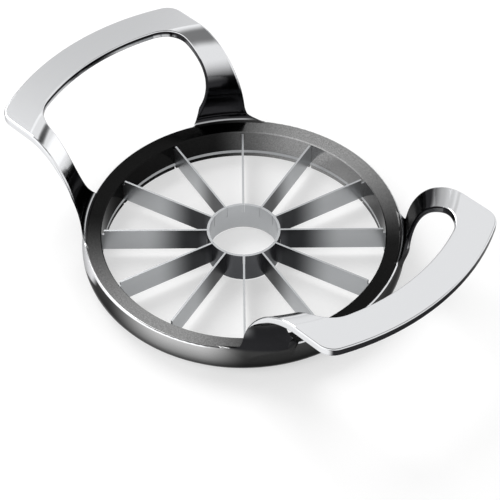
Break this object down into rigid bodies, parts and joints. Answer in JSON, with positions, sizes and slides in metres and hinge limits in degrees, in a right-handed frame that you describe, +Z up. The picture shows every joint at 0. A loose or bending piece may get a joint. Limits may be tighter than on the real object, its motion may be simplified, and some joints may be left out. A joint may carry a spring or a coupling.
{
  "type": "apple slicer and corer",
  "caption": "Hand-pressed apple slicer and corer: a polished cast ring with two upswept grip handles, flat blades set like spokes, and a coring tube in the middle.",
  "frame": {"origin": "on the axis of the ring and coring tube, at the plane the ring stands on", "axes": "+X through the middle of one handle, +Z up along the ring's axis"},
  "size_m": [0.1762, 0.114, 0.0442],
  "materials": {
    "casting": "die-cast zinc alloy, polished and chrome plated",
    "blade": "rolled stainless strip, ground along the lower edge",
    "tube": "drawn stainless tube, ground inside the lower rim",
    "spring_steel": "plain rolled spring steel strip"
  },
  "bodies": {
    "root": {"body_casting": "casting", "coring_tube": "tube", "blade_retaining_ring": "spring_steel", "blade_01": "blade", "blade_02": "blade", "blade_03": "blade", "blade_04": "blade", "blade_05": "blade", "blade_06": "blade", "blade_07": "blade", "blade_08": "blade", "blade_09": "blade", "blade_10": "blade", "blade_11": "blade", "blade_12": "blade"}
  },
  "joints": []
}
